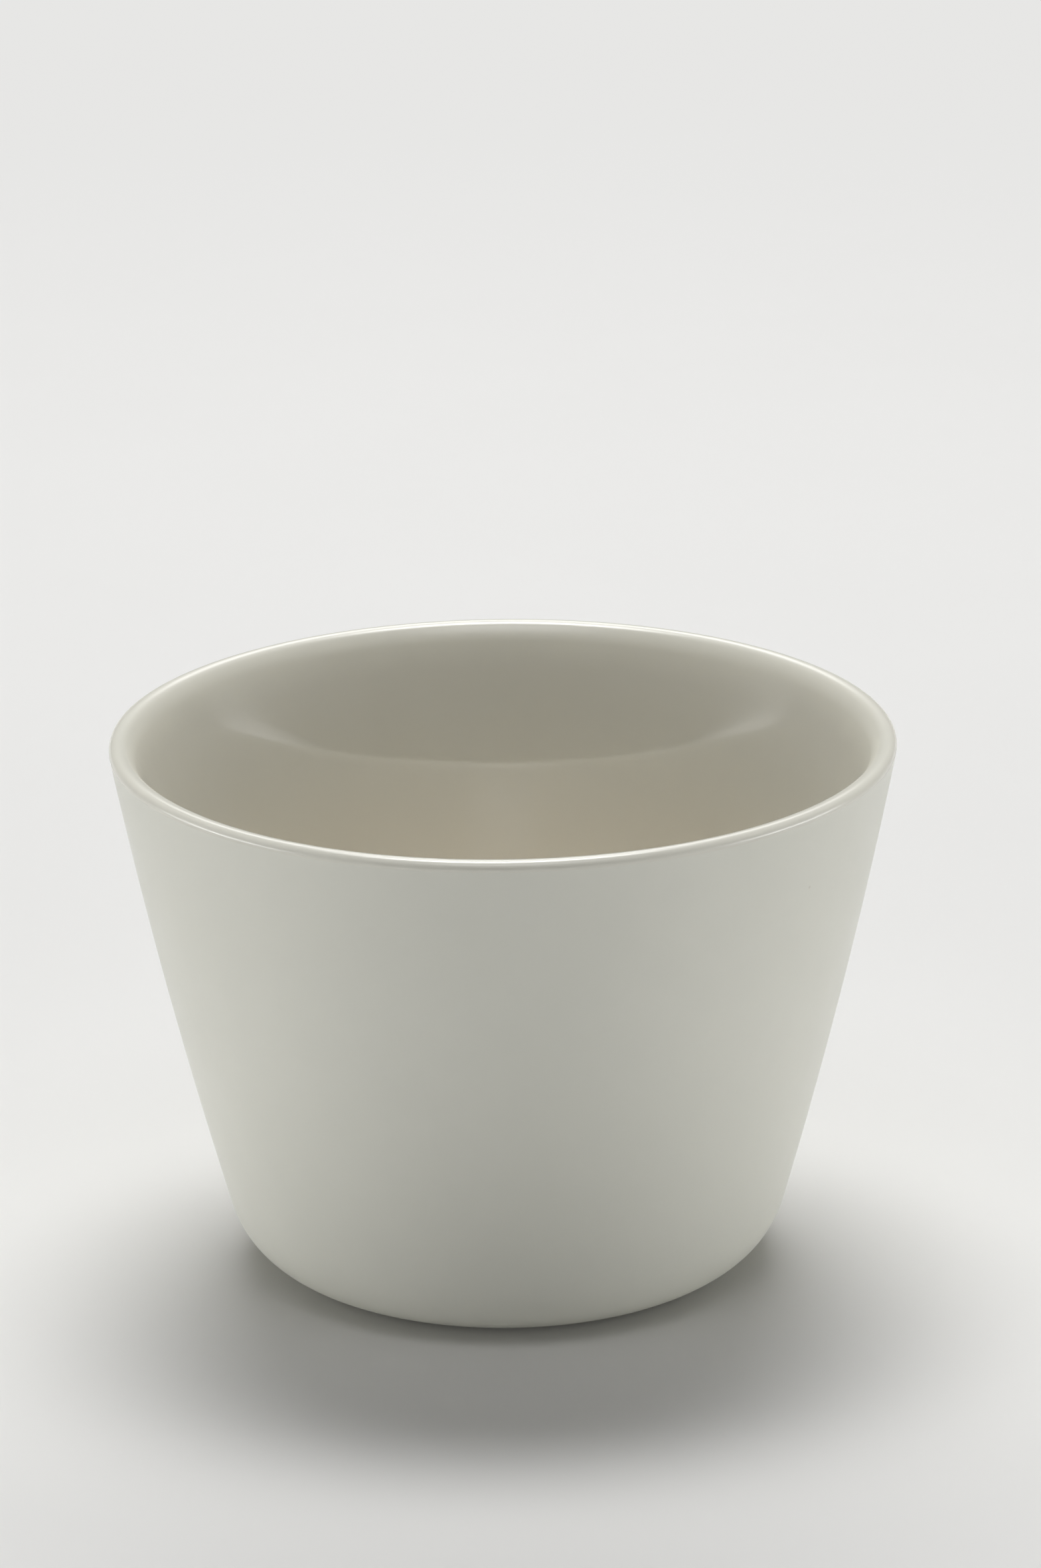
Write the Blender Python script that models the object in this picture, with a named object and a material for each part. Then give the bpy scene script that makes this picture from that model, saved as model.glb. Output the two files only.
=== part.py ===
"""A handleless cappuccino cup in glazed porcelain, modelled as the layers that it is fired from.

The body is one turned shell with its own foot ring. Three coats of glaze lie on it: a satin coat outside,
a glossy liner that also wraps the lip, and a dish of glaze inside the foot ring, which itself stays bare.

The finished section is a chain of tangent arcs. Outside these are the lip, the bowed wall and the rounded
corner. Inside they are the roll and the flare, which thin the wall towards the lip, then the wall and the
corner at the floor. Each surface under the finished one is the same chain, set deeper into the wall.

Points of the section are complex numbers: the real part is the distance from the axis, the imaginary part
is the height above the table.
"""

import cmath
import math

import bmesh
import bpy

# Finished sizes over the glaze, in metres
RIM_DIAMETER = 0.095
HEIGHT = 0.067
LIP_OUTER_RADIUS = 0.0010
LIP_INNER_RADIUS = 0.0016
LIP_SLOPE = math.radians(40)  # how far the surface still faces upwards where the lip passes into the roll
ROLL_RADIUS = 0.0060  # inside, between the lip and the flare
FLARE_RADIUS = 0.150
FLARE_TAPER = 0.0018  # how much the flare thickens the wall below the roll
WALL_RADIUS = 0.710  # slight outward bow of the wall
CORNER_RADIUS = 0.0106  # outside, between the wall and the base
INNER_CORNER_RADIUS = 0.0125  # inside, between the wall and the floor
BASE_DIAMETER = 0.048  # where the outer corner runs level
FLOOR_THICKNESS = 0.0048

# Foot ring of the body, bare and ground flat
FOOT_SETBACK = 0.0006  # from the edge of the base in to the ring
FOOT_WIDTH = 0.0030
FOOT_REVEAL = 0.0003  # height of the glazed corner above the table
FOOT_RECESS = 0.0020  # depth of the hollow inside the ring
FOOT_EDGE = 0.0003  # rounding of the ring's two edges
RECESS_FILLET = 0.0008  # rounding between the ring and the hollow's ceiling

# Glaze
GLAZE_THICKNESS = 0.0003
GLAZE_CLEARANCE = 0.0002  # between a coat and whatever it lies on or meets
BARE_BAND = 0.0022  # wiped clean of glaze on the outer corner, next to the base

# Facets
SEGMENTS = 56
ARC_STEP = math.radians(12)
SMALL_STEP = math.radians(24)  # on the lip and the foot ring's small roundings
GENTLE_STEPS = 3  # on an arc that turns too little to need more
SHARP_ANGLE = math.radians(40)
WELD_DISTANCE = 1e-7

# Colour (linear) and roughness of each finish
SATIN_WHITE = ((0.80, 0.80, 0.75), 0.38)
GLOSSY_CREAM = ((0.80, 0.79, 0.72), 0.10)
BARE_PORCELAIN = ((0.78, 0.76, 0.70), 0.75)
UNDERSIDE_WHITE = ((0.79, 0.79, 0.74), 0.30)

LEVEL = 0.0
UP = math.pi / 2
DOWN = -math.pi / 2
INWARD = -math.pi


def circles_meet(first, first_radius, second, second_radius):
    """The point at these distances from two centres, on the right of the way from first to second."""
    span = abs(second - first)
    forward = (second - first) / span
    along = (first_radius**2 - second_radius**2 + span**2) / (2 * span)
    aside = math.sqrt(first_radius**2 - along**2)
    return first + forward * complex(along, -aside)


def arc(centre, radius, start, end, widest_step=ARC_STEP):
    """Points along an arc between two angles, with both its ends."""
    steps = max(GENTLE_STEPS, math.ceil(abs(end - start) / widest_step))
    turn = (end - start) / steps
    return [centre + cmath.rect(radius, start + turn * step) for step in range(steps + 1)]


def joined(*runs):
    """One run of points, without the point that each run shares with the next."""
    points = []
    for run in runs:
        for point in run:
            if not points or abs(point - points[-1]) > WELD_DISTANCE:
                points.append(point)
    return points


# Radii, heights and depths that follow from the sizes above
LIP_REACH = RIM_DIAMETER / 2 - LIP_OUTER_RADIUS  # from the axis to the top of the lip
FLOOR_HEIGHT = FOOT_RECESS + FLOOR_THICKNESS
BODY_DEPTH = GLAZE_THICKNESS + GLAZE_CLEARANCE
BASE_RADIUS = BASE_DIAMETER / 2
FOOT_OUTER_RADIUS = BASE_RADIUS - FOOT_SETBACK
FOOT_INNER_RADIUS = FOOT_OUTER_RADIUS - FOOT_WIDTH
FILLET_RADIUS = min(RECESS_FILLET, (FOOT_RECESS - FOOT_EDGE) / 2)

# Centres of the tangent arcs
LIP_OUTER_CENTRE = complex(LIP_REACH, HEIGHT - LIP_OUTER_RADIUS)
LIP_INNER_CENTRE = complex(LIP_REACH, HEIGHT - LIP_INNER_RADIUS)
LIP_TO_ROLL = math.pi - LIP_SLOPE
ROLL_CENTRE = LIP_INNER_CENTRE - cmath.rect(ROLL_RADIUS - LIP_INNER_RADIUS, LIP_TO_ROLL)
CORNER_CENTRE = complex(BASE_RADIUS, FOOT_REVEAL + CORNER_RADIUS)
WALL_CENTRE = circles_meet(
    LIP_OUTER_CENTRE, WALL_RADIUS - LIP_OUTER_RADIUS, CORNER_CENTRE, WALL_RADIUS - CORNER_RADIUS
)
INNER_WALL_RADIUS = abs(ROLL_CENTRE - WALL_CENTRE) - ROLL_RADIUS - FLARE_TAPER
FLARE_CENTRE = circles_meet(
    WALL_CENTRE, INNER_WALL_RADIUS + FLARE_RADIUS, ROLL_CENTRE, FLARE_RADIUS - ROLL_RADIUS
)
INNER_CORNER_HEIGHT = FLOOR_HEIGHT + INNER_CORNER_RADIUS
INNER_CORNER_REACH = math.sqrt(
    (INNER_WALL_RADIUS - INNER_CORNER_RADIUS) ** 2 - (WALL_CENTRE.imag - INNER_CORNER_HEIGHT) ** 2
)
INNER_CORNER_CENTRE = complex(WALL_CENTRE.real + INNER_CORNER_REACH, INNER_CORNER_HEIGHT)
FILLET_CENTRE = complex(FOOT_INNER_RADIUS - BODY_DEPTH - FILLET_RADIUS, FOOT_RECESS - FILLET_RADIUS)

# Angles at which one arc passes into the next
LIP_TO_WALL = cmath.phase(LIP_OUTER_CENTRE - WALL_CENTRE)
WALL_TO_CORNER = cmath.phase(CORNER_CENTRE - WALL_CENTRE)
FLARE_TO_ROLL = cmath.phase(ROLL_CENTRE - FLARE_CENTRE)
FLARE_FROM_WALL = cmath.phase(WALL_CENTRE - FLARE_CENTRE)
INNER_WALL_TOP = cmath.phase(FLARE_CENTRE - WALL_CENTRE)
INNER_WALL_TO_CORNER = cmath.phase(INNER_CORNER_CENTRE - WALL_CENTRE)
OUTER_COAT_TOP = LIP_TO_WALL - GLAZE_CLEARANCE / WALL_RADIUS
OUTER_COAT_END = DOWN + BARE_BAND / CORNER_RADIUS


def inside_and_lip(depth):
    """From the middle of the floor up the inside and over the lip, to where the outer wall begins."""
    return joined(
        [complex(0, FLOOR_HEIGHT - depth)],
        arc(INNER_CORNER_CENTRE, INNER_CORNER_RADIUS + depth, DOWN, INNER_WALL_TO_CORNER),
        arc(WALL_CENTRE, INNER_WALL_RADIUS + depth, INNER_WALL_TO_CORNER, INNER_WALL_TOP),
        arc(FLARE_CENTRE, FLARE_RADIUS - depth, FLARE_FROM_WALL, FLARE_TO_ROLL),
        arc(ROLL_CENTRE, ROLL_RADIUS - depth, FLARE_TO_ROLL, LIP_TO_ROLL),
        arc(LIP_INNER_CENTRE, LIP_INNER_RADIUS - depth, LIP_TO_ROLL, UP, SMALL_STEP),
        arc(LIP_OUTER_CENTRE, LIP_OUTER_RADIUS - depth, UP, LIP_TO_WALL, SMALL_STEP),
    )


def outside(depth, wall_top):
    """Down the outer wall, from an angle near the lip, and round the corner to where the outer coat ends."""
    return joined(
        arc(WALL_CENTRE, WALL_RADIUS - depth, wall_top, WALL_TO_CORNER),
        arc(CORNER_CENTRE, CORNER_RADIUS - depth, WALL_TO_CORNER, OUTER_COAT_END),
    )


def bare_band():
    """The rest of the body's corner, below the outer coat."""
    return arc(CORNER_CENTRE, CORNER_RADIUS - BODY_DEPTH, OUTER_COAT_END, DOWN, SMALL_STEP)


def foot_ring():
    """From the base in to the ring, down its outer side, across its ground face and up its inner side."""
    outer_edge_centre = complex(FOOT_OUTER_RADIUS - FOOT_EDGE, FOOT_EDGE)
    inner_edge_centre = complex(FOOT_INNER_RADIUS + FOOT_EDGE, FOOT_EDGE)
    return joined(
        [complex(FOOT_OUTER_RADIUS, FOOT_REVEAL + BODY_DEPTH)],
        arc(outer_edge_centre, FOOT_EDGE, LEVEL, DOWN, SMALL_STEP),
        arc(inner_edge_centre, FOOT_EDGE, DOWN, INWARD, SMALL_STEP),
    )


def foot_hollow(depth):
    """From the axis across the ceiling of the hollow and round the fillet to the ring's inner side."""
    return joined(
        [complex(0, FOOT_RECESS + depth)],
        arc(FILLET_CENTRE, FILLET_RADIUS + depth, UP, LEVEL, SMALL_STEP),
    )


def coat(surface):
    """The section of a coat: along its face, then back along its underside."""
    return surface(0) + surface(GLAZE_THICKNESS)[::-1]


def finish(name, look):
    """A Principled material of one colour and roughness."""
    colour, roughness = look
    material = bpy.data.materials.new(name)
    material.use_nodes = True
    shader = material.node_tree.nodes["Principled BSDF"]
    shader.inputs["Base Color"].default_value = (*colour, 1)
    shader.inputs["Roughness"].default_value = roughness
    shader.inputs["Metallic"].default_value = 0
    return material


def turned(name, section, material, parent):
    """A solid turned about the cup's axis from its section, which is a loop unless it starts on the axis."""
    bm = bmesh.new()
    verts = [bm.verts.new((point.real, 0, point.imag)) for point in section]
    next_verts = verts[1:] if section[0].real == 0 else verts[1:] + verts[:1]
    edges = [bm.edges.new(pair) for pair in zip(verts, next_verts)]
    bmesh.ops.spin(
        bm,
        geom=verts + edges,
        cent=(0, 0, 0),
        axis=(0, 0, 1),
        angle=math.tau,
        steps=SEGMENTS,
        use_merge=True,
    )
    bmesh.ops.remove_doubles(bm, verts=bm.verts, dist=WELD_DISTANCE)
    bmesh.ops.recalc_face_normals(bm, faces=bm.faces)
    mesh = bpy.data.meshes.new(name)
    bm.to_mesh(mesh)
    bm.free()
    mesh.shade_smooth()
    mesh.set_sharp_from_angle(angle=SHARP_ANGLE)
    mesh.materials.append(material)
    piece = bpy.data.objects.new(name, mesh)
    piece.parent = parent
    bpy.context.scene.collection.objects.link(piece)
    return piece


def porcelain_body(cup):
    section = joined(
        inside_and_lip(BODY_DEPTH),
        outside(BODY_DEPTH, LIP_TO_WALL),
        bare_band(),
        foot_ring(),
        foot_hollow(BODY_DEPTH)[::-1],
    )
    return turned("porcelain_body", section, finish("bare_porcelain", BARE_PORCELAIN), cup)


def outer_glaze(body):
    section = coat(lambda depth: outside(depth, OUTER_COAT_TOP))
    return turned("outer_glaze", section, finish("satin_white_glaze", SATIN_WHITE), body)


def liner_glaze(body):
    section = coat(inside_and_lip)
    return turned("liner_glaze", section, finish("glossy_cream_glaze", GLOSSY_CREAM), body)


def base_glaze(body):
    section = coat(foot_hollow)
    return turned("base_glaze", section, finish("underside_glaze", UNDERSIDE_WHITE), body)


def main():
    for old in list(bpy.data.objects):
        bpy.data.objects.remove(old)
    cup = bpy.data.objects.new("cup", None)
    bpy.context.scene.collection.objects.link(cup)
    body = porcelain_body(cup)
    outer_glaze(body)
    liner_glaze(body)
    base_glaze(body)


main()
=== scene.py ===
# Handleless cappuccino cup: finishes of the glazed porcelain, studio light and camera
import cmath
import math

import bmesh
import bpy
from mathutils import Matrix, Vector


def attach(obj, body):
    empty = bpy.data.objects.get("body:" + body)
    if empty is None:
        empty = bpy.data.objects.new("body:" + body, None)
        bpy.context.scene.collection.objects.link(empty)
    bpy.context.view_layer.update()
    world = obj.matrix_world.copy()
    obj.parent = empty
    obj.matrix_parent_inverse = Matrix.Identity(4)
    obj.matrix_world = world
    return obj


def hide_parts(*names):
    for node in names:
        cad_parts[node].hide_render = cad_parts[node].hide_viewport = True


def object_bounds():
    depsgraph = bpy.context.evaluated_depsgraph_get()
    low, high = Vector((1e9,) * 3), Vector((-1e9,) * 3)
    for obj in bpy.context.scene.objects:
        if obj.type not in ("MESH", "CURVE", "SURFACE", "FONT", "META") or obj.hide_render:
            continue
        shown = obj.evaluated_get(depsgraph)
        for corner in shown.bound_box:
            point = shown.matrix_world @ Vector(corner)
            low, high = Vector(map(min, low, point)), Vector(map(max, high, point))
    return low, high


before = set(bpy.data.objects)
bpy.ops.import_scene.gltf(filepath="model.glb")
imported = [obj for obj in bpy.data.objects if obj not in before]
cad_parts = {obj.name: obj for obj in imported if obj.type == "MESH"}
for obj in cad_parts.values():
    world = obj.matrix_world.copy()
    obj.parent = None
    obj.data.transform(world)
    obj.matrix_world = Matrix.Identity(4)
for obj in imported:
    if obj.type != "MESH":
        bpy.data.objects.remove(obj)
cadLow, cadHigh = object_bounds()
print("frame: loaded", sorted(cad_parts))

# ways round a section, as angles
level, up, down, inward = 0.0, math.pi / 2, -math.pi / 2, -math.pi
samePlace = 1e-7  # points nearer than this are one point
middle = 0.5  # of a value that runs from 0 to 1


class Wire:
    # one output socket of a node tree; operators on it add Math nodes

    def __init__(self, tree, socket=None):
        self.tree = tree
        self.socket = socket

    def node(self, kind, settings=None, values=None, output=0):
        made = self.tree.nodes.new(kind)
        for name, value in (settings or {}).items():  # set first, because some change the sockets
            setattr(made, name, value)
        for name, value in (values or {}).items():
            self.feed(made.inputs[name], value)
        return Wire(self.tree, made.outputs[output])

    def beside(self, output):
        # another output of the same node
        return Wire(self.tree, self.socket.node.outputs[output])

    def feed(self, socket, value):
        if isinstance(value, Wire):
            self.tree.links.new(value.socket, socket)
        else:
            socket.default_value = value

    def maths(self, operation, first, second, clamp=False):
        settings = {"operation": operation, "use_clamp": clamp}
        return self.node("ShaderNodeMath", settings, {0: first, 1: second})

    def __add__(self, other):
        return self.maths("ADD", self, other)

    def __sub__(self, other):
        return self.maths("SUBTRACT", self, other)

    def __rsub__(self, other):
        return self.maths("SUBTRACT", other, self)

    def __mul__(self, other):
        return self.maths("MULTIPLY", self, other)

    def __pow__(self, other):
        return self.maths("POWER", self, other)

    __radd__ = __add__
    __rmul__ = __mul__

    def ramp(self, low, high):
        # 0 below low, 1 above high, with a smooth rise between
        settings = {"interpolation_type": "SMOOTHSTEP"}
        return self.node("ShaderNodeMapRange", settings, {0: self, 1: low, 2: high})

    def mix(self, first, second):
        # a colour that goes from first to second with this value
        return self.node("ShaderNodeMix", {"data_type": "RGBA"}, {0: self, 6: first, 7: second}, 2)

    def noise(self, size, detail, roughness=0.5):
        # self is a place in metres; size is that of the blotches, in metres
        return self.node("ShaderNodeTexNoise", None,
                         {"Vector": self, "Scale": 1 / size, "Detail": detail, "Roughness": roughness})

    def patches(self, size, detail, low, high):
        # noise with the part of its range from low to high drawn out to 0 and 1
        return self.noise(size, detail).ramp(low, high)


# the finished section over the glaze, in metres, as the solids have it
cupShape = {
    "lipOuterRadius": 0.0010,
    "lipInnerRadius": 0.0016,
    "lipSlope": math.radians(40),  # how far the lip still faces upwards where it passes into the roll
    "rollRadius": 0.0060,
    "flareRadius": 0.150,
    "flareTaper": 0.0018,  # how much the flare thickens the wall below the roll
    "wallRadius": 0.710,
    "cornerRadius": 0.0106,
    "innerCornerRadius": 0.0125,
    "baseRadius": 0.024,
    "floorThickness": 0.0048,
    "footSetback": 0.0006,
    "footWidth": 0.0030,
    "footReveal": 0.0003,
    "footRecess": 0.0020,
    "footEdge": 0.0003,
    "recessFillet": 0.0008,
    "bodyDepth": 0.0005,  # from the finished surface in to the fired body
    "coatDepth": 0.00049,  # thickness of a coat, which all but touches the body
    "bareBand": 0.0022,
    "segments": 192,
    "sharpAngle": math.radians(35),  # edges that turn more than this are drawn sharp
}

# how many straight pieces stand for each arc of the section
arcSteps = {
    "innerCorner": 16, "innerWall": 8, "flare": 12, "roll": 14, "lipInner": 8, "lipOuter": 14,
    "wall": 14, "corner": 16, "bareBand": 6, "footEdge": 6, "fillet": 8, "coatEdge": 6,
}

# small departures from a true turned form: (lobes, size in metres, phase)
handFinish = {
    "outOfRound": ((2, 0.00006, 0.4), (3, 0.00003, 1.9), (5, 0.00002, 4.1)),
    "rimWave": ((2, 0.00004, 1.0), (3, 0.00003, 2.2)),
    "rimWavePower": 4,  # keeps the wave near the rim
    "glazeLine": ((2, 0.00012, 0.7), (5, 0.00010, 2.9), (9, 0.00006, 5.0)),
    "hollowShare": 0.5,  # the glaze line in the foot wanders this much of the outer one
}


def circlesMeet(first, firstRadius, second, secondRadius):
    # the point at these distances from two centres, on the right of the way between them
    span = abs(second - first)
    forward = (second - first) / span
    along = (firstRadius ** 2 - secondRadius ** 2 + span ** 2) / (2 * span)
    return first + forward * complex(along, -math.sqrt(firstRadius ** 2 - along ** 2))


# points of the section are complex numbers: distance from the axis, and height
rimRadius, cupHeight = (cadHigh.x - cadLow.x) / 2, cadHigh.z
lipOuterRadius, lipInnerRadius = cupShape["lipOuterRadius"], cupShape["lipInnerRadius"]
rollRadius, flareRadius = cupShape["rollRadius"], cupShape["flareRadius"]
wallRadius = cupShape["wallRadius"]
cornerRadius, innerCornerRadius = cupShape["cornerRadius"], cupShape["innerCornerRadius"]
floorHeight = cupShape["footRecess"] + cupShape["floorThickness"]
bodyDepth, coatDepth = cupShape["bodyDepth"], cupShape["coatDepth"]
footEdge, recessFillet = cupShape["footEdge"], cupShape["recessFillet"]
footOuter = cupShape["baseRadius"] - cupShape["footSetback"]
footInner = footOuter - cupShape["footWidth"]

# centres of the arcs, each placed so that its arc is tangent to its neighbours
lipToRoll = math.pi - cupShape["lipSlope"]
lipOuterCentre = complex(rimRadius - lipOuterRadius, cupHeight - lipOuterRadius)
lipInnerCentre = complex(rimRadius - lipOuterRadius, cupHeight - lipInnerRadius)
rollCentre = lipInnerCentre - cmath.rect(rollRadius - lipInnerRadius, lipToRoll)
cornerCentre = complex(cupShape["baseRadius"], cupShape["footReveal"] + cornerRadius)
wallCentre = circlesMeet(lipOuterCentre, wallRadius - lipOuterRadius,
                         cornerCentre, wallRadius - cornerRadius)
innerWallRadius = abs(rollCentre - wallCentre) - rollRadius - cupShape["flareTaper"]
flareCentre = circlesMeet(wallCentre, innerWallRadius + flareRadius,
                          rollCentre, flareRadius - rollRadius)
innerCornerRise = wallCentre.imag - floorHeight - innerCornerRadius
innerCornerReach = math.sqrt((innerWallRadius - innerCornerRadius) ** 2 - innerCornerRise ** 2)
innerCornerCentre = complex(wallCentre.real + innerCornerReach, floorHeight + innerCornerRadius)
filletCentre = complex(footInner - bodyDepth - recessFillet, cupShape["footRecess"] - recessFillet)

# angles at which one arc passes into the next
lipToWall = cmath.phase(lipOuterCentre - wallCentre)
wallToCorner = cmath.phase(cornerCentre - wallCentre)
flareToRoll = cmath.phase(rollCentre - flareCentre)
flareFromWall = cmath.phase(wallCentre - flareCentre)
innerWallTop = cmath.phase(flareCentre - wallCentre)
innerWallToCorner = cmath.phase(innerCornerCentre - wallCentre)
coatEnd = down + cupShape["bareBand"] / cornerRadius


def lobes(parts, angle):
    return sum(size * math.cos(count * angle + phase) for count, size, phase in parts)


def arc(centre, radius, start, end, name):
    steps = arcSteps[name]
    turn = (end - start) / steps
    return [centre + cmath.rect(radius, start + turn * step) for step in range(steps + 1)]


def joined(*runs):
    points = []
    for run in runs:
        points += [point for point in run if not points or abs(point - points[-1]) > samePlace]
    return points


def insideAndLip(depth):
    return joined(
        [complex(0, floorHeight - depth)],
        arc(innerCornerCentre, innerCornerRadius + depth, down, innerWallToCorner, "innerCorner"),
        arc(wallCentre, innerWallRadius + depth, innerWallToCorner, innerWallTop, "innerWall"),
        arc(flareCentre, flareRadius - depth, flareFromWall, flareToRoll, "flare"),
        arc(rollCentre, rollRadius - depth, flareToRoll, lipToRoll, "roll"),
        arc(lipInnerCentre, lipInnerRadius - depth, lipToRoll, up, "lipInner"),
        arc(lipOuterCentre, lipOuterRadius - depth, up, lipToWall, "lipOuter"),
    )


def outside(depth, end):
    return joined(
        arc(wallCentre, wallRadius - depth, lipToWall, wallToCorner, "wall"),
        arc(cornerCentre, cornerRadius - depth, wallToCorner, end, "corner"),
    )


def footHollow(depth, end):
    return joined(
        [complex(0, cupShape["footRecess"] + depth)],
        arc(filletCentre, recessFillet + depth, up, end, "fillet"),
    )


def roundedEdge(centre, radius, side, end, turn):
    # the melted edge of a coat: a quarter round from its face down to the body; turn is the way it runs
    steps = arcSteps["coatEdge"]
    edge = []
    for step in range(1, steps + 1):
        fall = math.pi / 2 * step / steps
        angle = end + turn * coatDepth * math.sin(fall) / radius
        edge.append(centre + cmath.rect(radius - side * coatDepth * (1 - math.cos(fall)), angle))
    return edge


def turnedPiece(name, sectionAt):
    # a solid turned about the axis from the section at each angle
    # the section is closed into a loop, unless it starts on the axis
    bm = bmesh.new()
    count = cupShape["segments"]
    onAxis = sectionAt(0)[0].real == 0
    poles = {}
    rings = []
    for step in range(count):
        angle = math.tau * step / count
        ring = []
        for place, point in enumerate(sectionAt(angle)):
            lift = point.imag / cupHeight
            radius = point.real + lift * lobes(handFinish["outOfRound"], angle)
            height = point.imag + lift ** handFinish["rimWavePower"] * lobes(handFinish["rimWave"], angle)
            if point.real == 0:
                if place not in poles:
                    poles[place] = bm.verts.new((0, 0, point.imag))
                ring.append(poles[place])
            else:
                ring.append(bm.verts.new((radius * math.cos(angle), radius * math.sin(angle), height)))
        rings.append(ring)
    for ring, beside in zip(rings, rings[1:] + rings[:1]):
        last = len(ring) - 1 if onAxis else len(ring)
        for place in range(last):
            following = (place + 1) % len(ring)
            corners = (ring[place], ring[following], beside[following], beside[place])
            bm.faces.new(list(dict.fromkeys(corners)))
    bmesh.ops.recalc_face_normals(bm, faces=bm.faces)
    mesh = bpy.data.meshes.new(name)
    bm.to_mesh(mesh)
    bm.free()
    mesh.shade_smooth()
    mesh.set_sharp_from_angle(angle=cupShape["sharpAngle"])
    piece = bpy.data.objects.new(name, mesh)
    bpy.context.scene.collection.objects.link(piece)
    return piece


def newMaterial(name):
    material = bpy.data.materials.new(name)
    material.use_nodes = True
    tree = material.node_tree
    shader = tree.nodes["Principled BSDF"]
    return material, shader, Wire(tree).node("ShaderNodeTexCoord", output="Object")


def colour(red, green, blue):
    return red, green, blue, 1


def bumped(height):
    return height.node("ShaderNodeBump", None, {"Strength": 1.0, "Distance": 1.0, "Height": height})


def specks(place, look):
    # a few iron specks: most cells have none, because their random number is raised to a power
    cells = place.node("ShaderNodeTexVoronoi", None, {"Vector": place, "Scale": 1 / look["speckSpacing"]})
    chance = place.node("ShaderNodeSeparateColor", None, {"Color": cells.beside("Color")})
    radius = chance ** look["speckRarity"] * look["speckSize"]
    return place.maths("MULTIPLY", radius - cells, look["speckEdge"], clamp=True)


# the noises of every glaze: detail, and the part of the range that is drawn out
glazeNoise = {"drift": (2, 0.3, 0.7), "cloud": (3, 0.35, 0.65), "smear": (3, 0.25, 0.75)}
waveDetail = 1  # of the ripple and the swell


def glaze(name, look):
    # opaque white glaze: slow drift of tone, faint specks, and the ripple of a melted surface
    material, shader, place = newMaterial(name)
    drift = place.patches(look["driftSize"], *glazeNoise["drift"])
    cloud = place.patches(look["cloudSize"], *glazeNoise["cloud"])
    tone = drift.mix(look["thinColour"], look["thickColour"])
    tone = (cloud * look["cloudDepth"]).mix(tone, look["cloudColour"])
    smear = place.patches(look["smearSize"], *glazeNoise["smear"])
    roughness = look["roughness"] + (smear - middle) * look["smearDepth"]
    if "lipLightColour" in look:  # painted shade darkens and warms the lower bowl, painted light makes the lip paler, and the coat is less glossy over the lip
        height = place.node("ShaderNodeSeparateXYZ", None, {"Vector": place}, "Z")
        # painted shade: darker and warmer low in the bowl, where the inside lies in shade
        tone = height.ramp(look["bowlShadeFull"], look["bowlShadeTop"]).mix(look["bowlShadeColour"], tone)
        # painted light: the lip and the top of the roll drawn paler, where they catch the light
        paintedLipLight = (height + (cloud - middle) * look["lipWaver"]).ramp(look["lipStart"], look["lipFull"])
        tone = paintedLipLight.mix(tone, look["lipLightColour"])
        roughness = roughness + height.ramp(look["glossEnd"], look["lipFull"]) * look["lipRoughness"]
    tone = (specks(place, look) * look["speckDepth"]).mix(tone, look["speckColour"])
    place.feed(shader.inputs["Base Color"], tone)
    place.feed(shader.inputs["Roughness"], roughness)
    ripple = place.noise(look["rippleSize"], waveDetail) * look["rippleHeight"]
    swell = place.noise(look["swellSize"], waveDetail) * look["swellHeight"]
    place.feed(shader.inputs["Normal"], bumped(ripple + swell))
    shader.inputs["IOR"].default_value = look["ior"]
    return material


outerCoat = {
    "thinColour": colour(0.832, 0.830, 0.747),
    "thickColour": colour(0.814, 0.814, 0.730),
    "driftSize": 0.030,
    "cloudSize": 0.006, "cloudDepth": 0.25, "cloudColour": colour(0.802, 0.802, 0.724),
    "speckSpacing": 0.0060, "speckSize": 0.075, "speckRarity": 5.0, "speckEdge": 30.0,
    "speckDepth": 0.30, "speckColour": colour(0.42, 0.36, 0.27),
    "roughness": 0.36, "smearSize": 0.010, "smearDepth": 0.08,
    "rippleSize": 0.0012, "rippleHeight": 0.000010,
    "swellSize": 0.011, "swellHeight": 0.000060,
    "ior": 1.5,
}


def makeOuterCoat():
    def section(angle):
        end = coatEnd + lobes(handFinish["glazeLine"], angle) / cornerRadius
        face = outside(0, end)
        edge = roundedEdge(cornerCentre, cornerRadius, 1, end, -1)
        return face + edge + outside(coatDepth, end)[::-1]

    piece = turnedPiece("outer_coat", section)
    piece.data.materials.append(glaze("satin_white_glaze", outerCoat))
    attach(piece, "root")
    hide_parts("outer_glaze")


linerCoat = {
    # painted shade: the liner's tones are set darker and warmer than the outer coat's, for the shade and
    # warm bounced light inside the bowl
    "thinColour": colour(0.795, 0.781, 0.697),
    "thickColour": colour(0.782, 0.766, 0.680),
    "driftSize": 0.026,
    "cloudSize": 0.007, "cloudDepth": 0.25, "cloudColour": colour(0.775, 0.757, 0.667),
    # painted shade: the colour and the heights of the darker, warmer lower bowl
    "bowlShadeColour": colour(0.790, 0.749, 0.651), "bowlShadeTop": 0.058, "bowlShadeFull": 0.034,
    # painted light: the pale colour of the lip and the heights over which it comes in
    "lipLightColour": colour(0.868, 0.855, 0.762), "lipStart": 0.0610, "lipFull": 0.0656, "lipWaver": 0.0006,
    "glossEnd": 0.0555, "lipRoughness": 0.20,
    "speckSpacing": 0.0070, "speckSize": 0.070, "speckRarity": 5.0, "speckEdge": 30.0,
    "speckDepth": 0.30, "speckColour": colour(0.42, 0.36, 0.27),
    "roughness": 0.045, "smearSize": 0.012, "smearDepth": 0.02,
    "rippleSize": 0.0016, "rippleHeight": 0.000003,
    "swellSize": 0.013, "swellHeight": 0.000012,
    "ior": 1.66,  # a bright glaze, so that the lip shows in it
}


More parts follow.
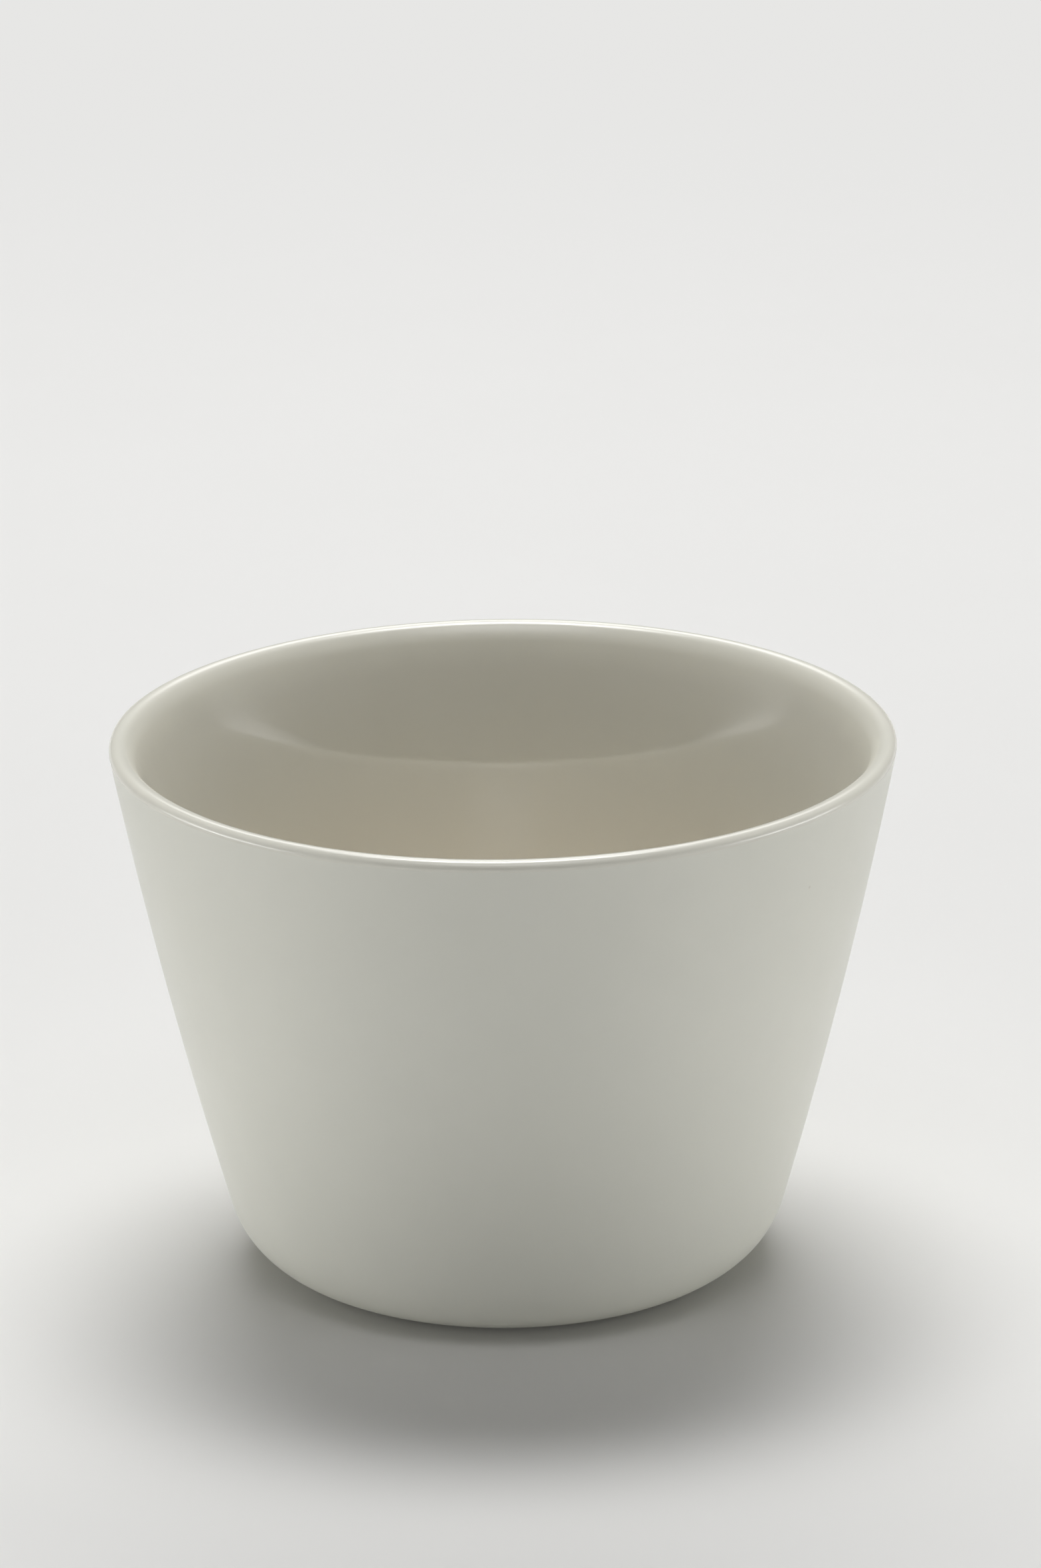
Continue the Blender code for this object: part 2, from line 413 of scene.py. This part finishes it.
def makeLinerCoat():
    def section(angle):
        return insideAndLip(0) + insideAndLip(coatDepth)[::-1]

    piece = turnedPiece("liner_coat", section)
    piece.data.materials.append(glaze("glossy_cream_glaze", linerCoat))
    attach(piece, "root")
    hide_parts("liner_glaze")


baseCoat = dict(outerCoat, roughness=0.34, driftSize=0.018)


def makeBaseCoat():
    def section(angle):
        end = level + lobes(handFinish["glazeLine"], angle) / recessFillet * handFinish["hollowShare"]
        face = footHollow(0, end)
        edge = roundedEdge(filletCentre, recessFillet, -1, end, -1)
        return face + edge + footHollow(coatDepth, end)[::-1]

    piece = turnedPiece("base_coat", section)
    piece.data.materials.append(glaze("underside_glaze", baseCoat))
    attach(piece, "root")
    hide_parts("base_glaze")


firedBody = {
    "colour": colour(0.78, 0.755, 0.69),
    "grainColour": colour(0.70, 0.672, 0.60),
    "grainSize": 0.00035, "grainDetail": 3, "grainNoise": 0.6, "grainRange": (0.35, 0.7),
    "grainDepth": 0.5, "grainHeight": 0.00003,
    "rubColour": colour(0.60, 0.585, 0.555),
    "rubHeight": 0.00025,  # the ground face is rubbed grey up to here
    "rubDepth": 0.5,
    "blotchSize": 0.006, "blotchDetail": 3, "blotchRange": (0.35, 0.65),
    "roughness": 0.78,
    "grainRoughness": 0.2,  # how much the grain spreads the roughness
    "rubPolish": 0.15,  # how much rubbing takes from it
}


def barePorcelain(name, look):
    material, shader, place = newMaterial(name)
    grain = place.noise(look["grainSize"], look["grainDetail"], look["grainNoise"])
    blotch = place.noise(look["blotchSize"], look["blotchDetail"])
    height = place.node("ShaderNodeSeparateXYZ", None, {"Vector": place}, "Z")
    rubbed = (1 - height.ramp(0.0, look["rubHeight"])) * blotch.ramp(*look["blotchRange"])
    tone = (grain.ramp(*look["grainRange"]) * look["grainDepth"]).mix(look["colour"], look["grainColour"])
    tone = (rubbed * look["rubDepth"]).mix(tone, look["rubColour"])
    place.feed(shader.inputs["Base Color"], tone)
    roughness = look["roughness"] + (grain - middle) * look["grainRoughness"] - rubbed * look["rubPolish"]
    place.feed(shader.inputs["Roughness"], roughness)
    place.feed(shader.inputs["Normal"], bumped(grain * look["grainHeight"]))
    return material


def makeFiredBody():
    def section(angle):
        base = complex(footOuter, cupShape["footReveal"] + bodyDepth)
        return joined(
            insideAndLip(bodyDepth),
            outside(bodyDepth, coatEnd),
            arc(cornerCentre, cornerRadius - bodyDepth, coatEnd, down, "bareBand"),
            [base],
            arc(complex(footOuter - footEdge, footEdge), footEdge, level, down, "footEdge"),
            arc(complex(footInner + footEdge, footEdge), footEdge, down, inward, "footEdge"),
            footHollow(bodyDepth, level)[::-1],
        )

    piece = turnedPiece("fired_body", section)
    piece.data.materials.append(barePorcelain("bare_porcelain", firedBody))
    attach(piece, "root")
    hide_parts("porcelain_body")


makeFiredBody()
makeOuterCoat()
makeLinerCoat()
makeBaseCoat()
print("cup: body and three coats of glaze")

studio = {
    "floorColour": colour(0.86, 0.856, 0.842),
    "floorShade": colour(0.82, 0.815, 0.80),
    "mottle": (0.05, 3, 0.3, 0.7),  # size, detail, and the part of the range that is drawn out
    "mottleDepth": 0.15,
    "floorRoughness": 0.8,
    "floorRadius": 3.0,
    "floorSegments": 96,
    "sweepStart": 0.25,  # from here outwards the camera sees the floor pass into the backdrop
    "sweepEnd": 0.80,
    "backdrop": colour(0.80, 0.797, 0.785),
    "roomColour": colour(0.01, 0.01, 0.01),
    "lampPeak": 2.25,  # the middle of a diffuser against its mean
    # name: degrees round from behind the cup and above the table, distance, width, height, brightness
    "lamps": {
        "back_softbox": (0, 42, 1.40, 1.2, 0.6, 2.2),
        "high_softbox": (0, 75, 1.40, 1.0, 0.6, 6.7),
        "front_softbox": (180, 64, 1.35, 1.2, 0.7, 1.0),
        "left_strip": (-95, 6, 1.30, 1.2, 0.26, 1.1),
        "right_strip": (95, 6, 1.30, 1.2, 0.26, 1.1),
        "left_low_strip": (-95, 2, 1.30, 1.4, 0.12, 7.0),
        "right_low_strip": (95, 2, 1.30, 1.4, 0.12, 6.0),
        "left_front_strip": (-130, 6, 1.30, 1.2, 0.26, 0.50),
        "right_front_strip": (130, 6, 1.30, 1.2, 0.26, 0.55),
    },
}


def makeFloor():
    bm = bmesh.new()
    bmesh.ops.create_circle(bm, cap_ends=True, radius=studio["floorRadius"],
                            segments=studio["floorSegments"])
    mesh = bpy.data.meshes.new("floor")
    bm.to_mesh(mesh)
    bm.free()
    floor = bpy.data.objects.new("floor", mesh)
    bpy.context.scene.collection.objects.link(floor)
    material, shader, place = newMaterial("pale_floor")
    mottle = place.patches(*studio["mottle"]) * studio["mottleDepth"]
    place.feed(shader.inputs["Base Color"], mottle.mix(studio["floorColour"], studio["floorShade"]))
    shader.inputs["Roughness"].default_value = studio["floorRoughness"]
    seen = place.node("ShaderNodeLightPath", output="Is Camera Ray")
    reach = place.node("ShaderNodeVectorMath", {"operation": "LENGTH"}, {0: place}, "Value")
    sweep = place.node("ShaderNodeMixShader", None, {
        0: reach.ramp(studio["sweepStart"], studio["sweepEnd"]) * seen,
        1: Wire(place.tree, shader.outputs["BSDF"]),
        2: place.node("ShaderNodeEmission", None, {"Color": studio["backdrop"]}),
    })
    place.feed(place.tree.nodes["Material Output"].inputs["Surface"], sweep)
    mesh.materials.append(material)


def hump(value):
    # 0 at both ends of 0 to 1, and 1 in the middle
    return 4 * value * (1 - value)


def makeLamp(name, around, above, distance, width, height, brightness):
    lamp = bpy.data.lights.new(name, "AREA")
    lamp.shape = "RECTANGLE"
    lamp.size, lamp.size_y = width, height
    lamp.energy = math.pi * width * height * brightness
    lamp.use_nodes = True
    start = Wire(lamp.node_tree)
    across = start.node("ShaderNodeNewGeometry", output="Parametric")  # the diffuser fades towards its edges
    across = across.node("ShaderNodeSeparateXYZ", None, {"Vector": across})
    strength = hump(across) * hump(across.beside("Y")) * studio["lampPeak"]
    start.feed(lamp.node_tree.nodes["Emission"].inputs["Strength"], strength)
    holder = bpy.data.objects.new(name, lamp)
    turn = Matrix.Rotation(math.radians(-around), 4, "Z") @ Matrix.Rotation(math.radians(above), 4, "X")
    holder.location = Vector((0, 0, cupHeight / 2)) + turn @ Vector((0, distance, 0))
    holder.rotation_euler = (turn @ Matrix.Rotation(down, 4, "X")).to_euler()
    bpy.context.scene.collection.objects.link(holder)


def makeWorld():
    world = bpy.data.worlds.new("studio")
    bpy.context.scene.world = world
    world.use_nodes = True
    tree = world.node_tree
    seen = Wire(tree).node("ShaderNodeLightPath", output="Is Camera Ray")
    seen.feed(tree.nodes["Background"].inputs["Color"], seen.mix(studio["roomColour"], studio["backdrop"]))


makeFloor()
makeWorld()
for lampName, lampSetting in studio["lamps"].items():
    makeLamp(lampName, *lampSetting)
print("studio: floor, surroundings and", len(studio["lamps"]), "lamps")

# the photograph's view: aimed at the middle of the cup, then turned so that the cup sits low in the picture
view = {
    "distance": 0.760,
    "elevation": math.radians(20.556),
    "yaw": math.radians(-0.1574),
    "pitch": math.radians(1.9242),
    "roll": math.radians(-0.6219),
    "lens": 142.395,  # mm, for a 36 mm picture height
}


def makeCamera():
    camera = bpy.data.cameras.new("camera")
    camera.lens = view["lens"]
    holder = bpy.data.objects.new("camera", camera)
    back = Vector((0, -math.cos(view["elevation"]), math.sin(view["elevation"])))
    place = Vector((0, 0, cupHeight / 2)) + back * view["distance"]
    aim = Matrix.Rotation(math.pi / 2 - view["elevation"], 4, "X")
    aim = aim @ Matrix.Rotation(view["yaw"], 4, "Y") @ Matrix.Rotation(view["pitch"], 4, "X")
    holder.matrix_world = Matrix.Translation(place) @ aim @ Matrix.Rotation(view["roll"], 4, "Z")
    bpy.context.scene.collection.objects.link(holder)
    bpy.context.scene.camera = holder
    bpy.context.scene.view_settings.view_transform = "Standard"


makeCamera()
print("camera: at the photograph's angle")
